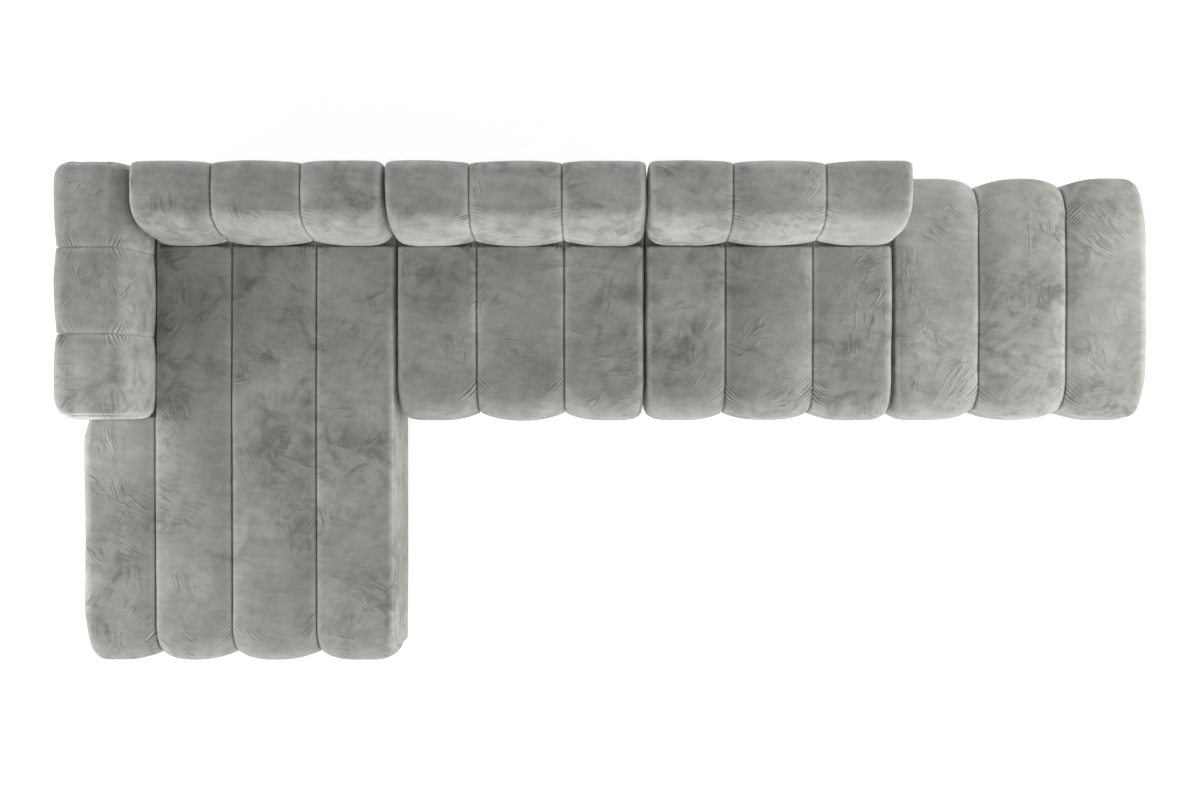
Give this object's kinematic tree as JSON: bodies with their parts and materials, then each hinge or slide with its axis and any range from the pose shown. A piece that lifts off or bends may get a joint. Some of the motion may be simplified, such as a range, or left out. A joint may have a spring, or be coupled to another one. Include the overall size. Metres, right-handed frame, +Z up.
{
  "type": "modular corner sofa",
  "caption": "Low modular sofa in channel-quilted velvet: a chaise with an arm, middle seats with backs, and an ottoman, joined by swivel links.",
  "frame": {"origin": "middle of the whole sofa's footprint, on the floor", "axes": "+X along the row from the chaise to the ottoman, +Y towards the backs, +Z up"},
  "size_m": [4.5696, 2.093, 0.73],
  "materials": {
    "velvet": "warm grey crushed velvet with a short, directional pile",
    "foam": "cut polyurethane foam",
    "timber": "planed, unfinished",
    "webbing": "woven elastic",
    "lining": "thin non-woven cloth",
    "plastic": "fine moulded texture",
    "steel": "zinc plated"
  },
  "bodies": {
    "chaise": {"chaise_base_frame": "timber", "chaise_webbing": "webbing", "chaise_seat_foam": "foam", "chaise_seat_cover": "velvet", "chaise_dust_cover": "lining", "chaise_back_frame": "timber", "chaise_back_foam": "foam", "chaise_back_cover": "velvet", "chaise_arm_frame": "timber", "chaise_arm_foam": "foam", "chaise_arm_cover": "velvet", "chaise_foot_1": "plastic", "chaise_foot_2": "plastic", "chaise_foot_3": "plastic", "chaise_foot_4": "plastic", "chaise_foot_5": "plastic", "chaise_foot_6": "plastic"},
    "middle_left": {"middle_left_base_frame": "timber", "middle_left_webbing": "webbing", "middle_left_seat_foam": "foam", "middle_left_seat_cover": "velvet", "middle_left_dust_cover": "lining", "middle_left_back_frame": "timber", "middle_left_back_foam": "foam", "middle_left_back_cover": "velvet", "middle_left_foot_1": "plastic", "middle_left_foot_2": "plastic", "middle_left_foot_3": "plastic", "middle_left_foot_4": "plastic"},
    "middle_right": {"middle_right_base_frame": "timber", "middle_right_webbing": "webbing", "middle_right_seat_foam": "foam", "middle_right_seat_cover": "velvet", "middle_right_dust_cover": "lining", "middle_right_back_frame": "timber", "middle_right_back_foam": "foam", "middle_right_back_cover": "velvet", "middle_right_foot_1": "plastic", "middle_right_foot_2": "plastic", "middle_right_foot_3": "plastic", "middle_right_foot_4": "plastic"},
    "ottoman": {"ottoman_base_frame": "timber", "ottoman_webbing": "webbing", "ottoman_seat_foam": "foam", "ottoman_seat_cover": "velvet", "ottoman_dust_cover": "lining", "ottoman_foot_1": "plastic", "ottoman_foot_2": "plastic", "ottoman_foot_3": "plastic", "ottoman_foot_4": "plastic"},
    "chaise_link_rear": {"chaise_link_rear": "steel"},
    "chaise_link_front": {"chaise_link_front": "steel"},
    "middle_left_link_rear": {"middle_left_link_rear": "steel"},
    "middle_left_link_front": {"middle_left_link_front": "steel"},
    "middle_right_link_rear": {"middle_right_link_rear": "steel"},
    "middle_right_link_front": {"middle_right_link_front": "steel"}
  },
  "joints": [
    {"name": "middle_left_pulls_off", "type": "slide", "parent": "chaise", "child": "middle_left", "axis": [1, 0, 0], "range_m": [0, 0.6]},
    {"name": "middle_right_pulls_off", "type": "slide", "parent": "middle_left", "child": "middle_right", "axis": [1, 0, 0], "range_m": [0, 0.6]},
    {"name": "ottoman_pulls_off", "type": "slide", "parent": "middle_right", "child": "ottoman", "axis": [1, 0, 0], "range_m": [0, 0.6]},
    {"name": "chaise_link_rear_turns", "type": "hinge", "parent": "chaise", "child": "chaise_link_rear", "pos_m": [-1.0274, 0.9465, 0], "axis": [0, 0, 1], "range_deg": [0, 90]},
    {"name": "chaise_link_front_turns", "type": "hinge", "parent": "chaise", "child": "chaise_link_front", "pos_m": [-1.0274, 0.0815, 0], "axis": [0, 0, 1], "range_deg": [-90, 0]},
    {"name": "middle_left_link_rear_turns", "type": "hinge", "parent": "middle_left", "child": "middle_left_link_rear", "pos_m": [0.0342, 0.9465, 0], "axis": [0, 0, 1], "range_deg": [0, 90]},
    {"name": "middle_left_link_front_turns", "type": "hinge", "parent": "middle_left", "child": "middle_left_link_front", "pos_m": [0.0342, 0.0815, 0], "axis": [0, 0, 1], "range_deg": [-90, 0]},
    {"name": "middle_right_link_rear_turns", "type": "hinge", "parent": "middle_right", "child": "middle_right_link_rear", "pos_m": [1.0958, 0.9465, 0], "axis": [0, 0, 1], "range_deg": [0, 90]},
    {"name": "middle_right_link_front_turns", "type": "hinge", "parent": "middle_right", "child": "middle_right_link_front", "pos_m": [1.0958, 0.0815, 0], "axis": [0, 0, 1], "range_deg": [-90, 0]}
  ]
}
